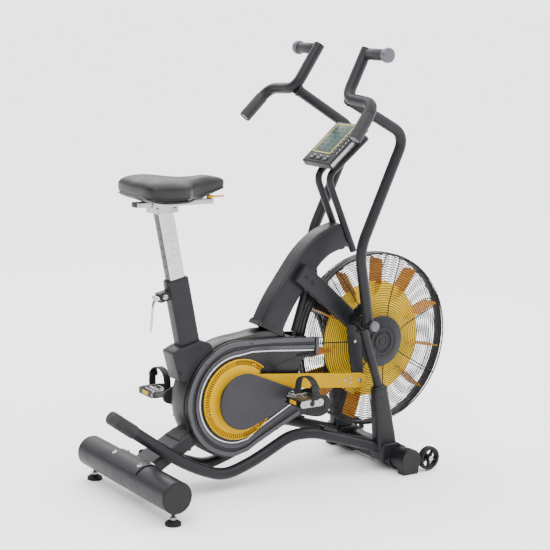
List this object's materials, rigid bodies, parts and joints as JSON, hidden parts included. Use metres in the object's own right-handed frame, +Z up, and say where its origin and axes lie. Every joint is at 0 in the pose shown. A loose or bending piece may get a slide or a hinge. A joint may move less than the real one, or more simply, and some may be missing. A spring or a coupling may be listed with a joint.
{
  "type": "air bike",
  "caption": "stationary air bike with a wire-caged fan, swinging handle arms linked to the cranks, an adjustable saddle and a small tilting console",
  "frame": {"origin": "centre of the footprint, on the floor under the bike", "axes": "+X towards the front where the fan is, +Y to the rider's left, +Z up"},
  "size_m": [1.339, 0.7266, 1.4093],
  "materials": {
    "frame_paint": "semi-matte charcoal powder coat",
    "black_plastic": "fine-textured black",
    "grey_cover": "dark grey moulded cover",
    "amber": "satin warm amber yellow",
    "amber_paint": "satin warm amber yellow",
    "chrome": "polished",
    "steel": "satin",
    "alloy": "satin",
    "rubber": "matte foam rubber",
    "saddle_skin": "matte black leatherette"
  },
  "bodies": {
    "frame": {"rear_stabiliser": "frame_paint", "rear_cap_right": "black_plastic", "rear_cap_left": "black_plastic", "level_foot_right": "black_plastic", "level_foot_left": "black_plastic", "rear_beam": "frame_paint", "side_rail_right": "frame_paint", "side_rail_left": "frame_paint", "lift_grip": "rubber", "front_stabiliser": "frame_paint", "front_cap_right": "black_plastic", "front_cap_left": "black_plastic", "fork_leg_right": "frame_paint", "fork_leg_left": "frame_paint", "main_beam": "frame_paint", "box_arm_right": "frame_paint", "box_arm_left": "frame_paint", "console_mast": "frame_paint", "housing_centre": "black_plastic", "housing_right": "black_plastic", "housing_left": "black_plastic", "housing_ring_right": "amber", "housing_ring_left": "amber", "seat_tube": "frame_paint", "seat_bracket": "frame_paint", "clamp_block": "frame_paint", "fan_cage_right": "frame_paint", "fan_cage_left": "frame_paint", "fan_axle": "steel"},
    "crank": {"crank_shaft": "steel", "crank_cover_right": "grey_cover", "crank_cover_left": "grey_cover"},
    "pedal_right": {"pedal_right": "alloy", "pedal_strap_right": "black_plastic"},
    "pedal_left": {"pedal_left": "alloy", "pedal_strap_left": "black_plastic"},
    "fan": {"fan_wheel": "amber_paint"},
    "wheel_right": {"wheel_right": "black_plastic"},
    "wheel_left": {"wheel_left": "black_plastic"},
    "arm_right": {"handle_arm_right": "frame_paint", "handlebar_right": "frame_paint", "bar_grip_right": "rubber", "rocker_right": "frame_paint"},
    "arm_left": {"handle_arm_left": "frame_paint", "handlebar_left": "frame_paint", "bar_grip_left": "rubber", "rocker_left": "frame_paint"},
    "rod_right": {"link_rod_right": "amber_paint"},
    "rod_left": {"link_rod_left": "amber_paint"},
    "post": {"seat_post": "chrome"},
    "saddle_slide": {"slide_bar": "alloy", "saddle": "saddle_skin"},
    "slide_lever": {"slide_lever": "amber"},
    "clamp_lever": {"clamp_lever": "chrome"},
    "console": {"console": "black_plastic"},
    "key_right": {"console_key_right": "black_plastic"},
    "key_middle": {"console_key_middle": "black_plastic"},
    "key_left": {"console_key_left": "black_plastic"}
  },
  "joints": [
    {"name": "crank_spin", "type": "hinge", "parent": "frame", "child": "crank", "pos_m": [-0.186, 0, 0.2924], "axis": [0, 1, 0], "continuous": true},
    {"name": "pedal_spin_right", "type": "hinge", "parent": "crank", "child": "pedal_right", "pos_m": [-0.011, -0.163, 0.2924], "axis": [0, 1, 0], "continuous": true},
    {"name": "pedal_spin_left", "type": "hinge", "parent": "crank", "child": "pedal_left", "pos_m": [-0.361, 0.163, 0.2924], "axis": [0, 1, 0], "continuous": true},
    {"name": "fan_spin", "type": "hinge", "parent": "frame", "child": "fan", "pos_m": [0.375, 0, 0.4235], "axis": [0, 1, 0], "continuous": true},
    {"name": "wheel_spin_right", "type": "hinge", "parent": "frame", "child": "wheel_right", "pos_m": [0.475, -0.21, 0.043], "axis": [0, 1, 0], "continuous": true},
    {"name": "wheel_spin_left", "type": "hinge", "parent": "frame", "child": "wheel_left", "pos_m": [0.475, 0.21, 0.043], "axis": [0, 1, 0], "continuous": true},
    {"name": "arm_swing_right", "type": "hinge", "parent": "frame", "child": "arm_right", "pos_m": [0.244, 0, 0.511], "axis": [0, 1, 0], "range_deg": [-16, 20]},
    {"name": "arm_swing_left", "type": "hinge", "parent": "frame", "child": "arm_left", "pos_m": [0.244, 0, 0.511], "axis": [0, 1, 0], "range_deg": [-20, 16]},
    {"name": "rod_turn_right", "type": "hinge", "parent": "arm_right", "child": "rod_right", "pos_m": [0.27281, -0.0755, 0.30601], "axis": [0, 1, 0], "range_deg": [-20, 16]},
    {"name": "rod_turn_left", "type": "hinge", "parent": "arm_left", "child": "rod_left", "pos_m": [0.2561, 0.0755, 0.30435], "axis": [0, 1, 0], "range_deg": [-16, 20]},
    {"name": "seat_height", "type": "slide", "parent": "frame", "child": "post", "axis": [-0.213, 0, 0.9771], "range_m": [-0.075, 0.06]},
    {"name": "saddle_fore_aft", "type": "slide", "parent": "post", "child": "saddle_slide", "axis": [1, 0, 0], "range_m": [-0.05, 0.045]},
    {"name": "slide_lever_turn", "type": "hinge", "parent": "saddle_slide", "child": "slide_lever", "pos_m": [-0.2765, 0, 0.9382], "axis": [0, 0, 1], "range_deg": [0, 60]},
    {"name": "clamp_lever_turn", "type": "hinge", "parent": "frame", "child": "clamp_lever", "pos_m": [-0.46317, 0, 0.63394], "axis": [0, 1, 0], "range_deg": [0, 100]},
    {"name": "console_tilt", "type": "hinge", "parent": "frame", "child": "console", "pos_m": [0.27916, 0, 1.12162], "axis": [0, 1, 0], "range_deg": [0, 20]},
    {"name": "key_press_right", "type": "slide", "parent": "console", "child": "key_right", "axis": [0.6561, 0, -0.7547], "range_m": [0, 0.0012], "stiffness_N_per_m": 400},
    {"name": "key_press_middle", "type": "slide", "parent": "console", "child": "key_middle", "axis": [0.6561, 0, -0.7547], "range_m": [0, 0.0012], "stiffness_N_per_m": 400},
    {"name": "key_press_left", "type": "slide", "parent": "console", "child": "key_left", "axis": [0.6561, 0, -0.7547], "range_m": [0, 0.0012], "stiffness_N_per_m": 400}
  ],
  "couplings": [
    {"joint": "fan_spin", "follows": "crank_spin", "ratio": 3},
    {"joint": "arm_swing_left", "follows": "arm_swing_right", "ratio": -1},
    {"joint": "rod_turn_right", "follows": "arm_swing_right", "ratio": -1},
    {"joint": "rod_turn_left", "follows": "arm_swing_right", "ratio": 1}
  ]
}
